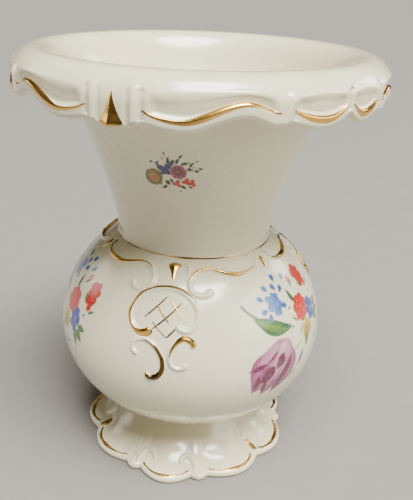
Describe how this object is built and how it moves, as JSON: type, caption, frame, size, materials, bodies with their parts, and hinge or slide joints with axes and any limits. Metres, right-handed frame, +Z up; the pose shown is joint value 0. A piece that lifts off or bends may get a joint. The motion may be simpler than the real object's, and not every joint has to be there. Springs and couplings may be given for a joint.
{
  "type": "flower vase",
  "caption": "Glazed porcelain flower vase with globe bowl, flaring neck, rolled scalloped lip, lobed foot, relief scrolls and gilding.",
  "frame": {"origin": "centre of the underside of the foot ring, on the vase's axis", "axes": "+Z up along the vase's axis; the front relief cartouche faces -Y, so +X is to the right seen from the front"},
  "size_m": [0.1833, 0.1833, 0.22],
  "materials": {
    "ivory_glaze": "gloss",
    "gold": "polished"
  },
  "bodies": {
    "root": {"foot": "ivory_glaze", "bowl": "ivory_glaze", "neck": "ivory_glaze", "rim": "ivory_glaze", "cartouche_arch_front": "ivory_glaze", "cartouche_arch_right": "ivory_glaze", "cartouche_arch_back_left": "ivory_glaze", "shoulder_scroll_right_front": "ivory_glaze", "shoulder_scroll_right_right": "ivory_glaze", "shoulder_scroll_right_back_left": "ivory_glaze", "shoulder_scroll_left_front": "ivory_glaze", "shoulder_scroll_left_right": "ivory_glaze", "shoulder_scroll_left_back_left": "ivory_glaze", "lower_scroll_left_front": "ivory_glaze", "lower_scroll_left_right": "ivory_glaze", "lower_scroll_left_back_left": "ivory_glaze", "lower_scroll_right_front": "ivory_glaze", "lower_scroll_right_right": "ivory_glaze", "lower_scroll_right_back_left": "ivory_glaze", "bell_drop_front": "gold", "bell_drop_right": "gold", "bell_drop_back_left": "gold", "shoulder_tick_front": "gold", "shoulder_tick_right": "gold", "shoulder_tick_back_left": "gold", "cartouche_lattice_front": "gold", "cartouche_lattice_right": "gold", "cartouche_lattice_back_left": "gold", "rim_wedge_front": "gold", "rim_wedge_right": "gold", "rim_wedge_back_left": "gold", "rim_scallop_right_front": "gold", "rim_scallop_right_right": "gold", "rim_scallop_right_back_left": "gold", "rim_scallop_left_front": "gold", "rim_scallop_left_right": "gold", "rim_scallop_left_back_left": "gold", "rim_swag_front": "gold", "rim_swag_right": "gold", "rim_swag_back_left": "gold", "foot_gold_centre_front": "gold", "foot_gold_centre_right": "gold", "foot_gold_centre_back_left": "gold", "foot_gold_right_front": "gold", "foot_gold_right_right": "gold", "foot_gold_right_back_left": "gold", "foot_gold_left_front": "gold", "foot_gold_left_right": "gold", "foot_gold_left_back_left": "gold", "foot_dash_front": "gold", "foot_dash_right": "gold", "foot_dash_back_left": "gold", "waist_gold_line": "gold"}
  },
  "joints": []
}
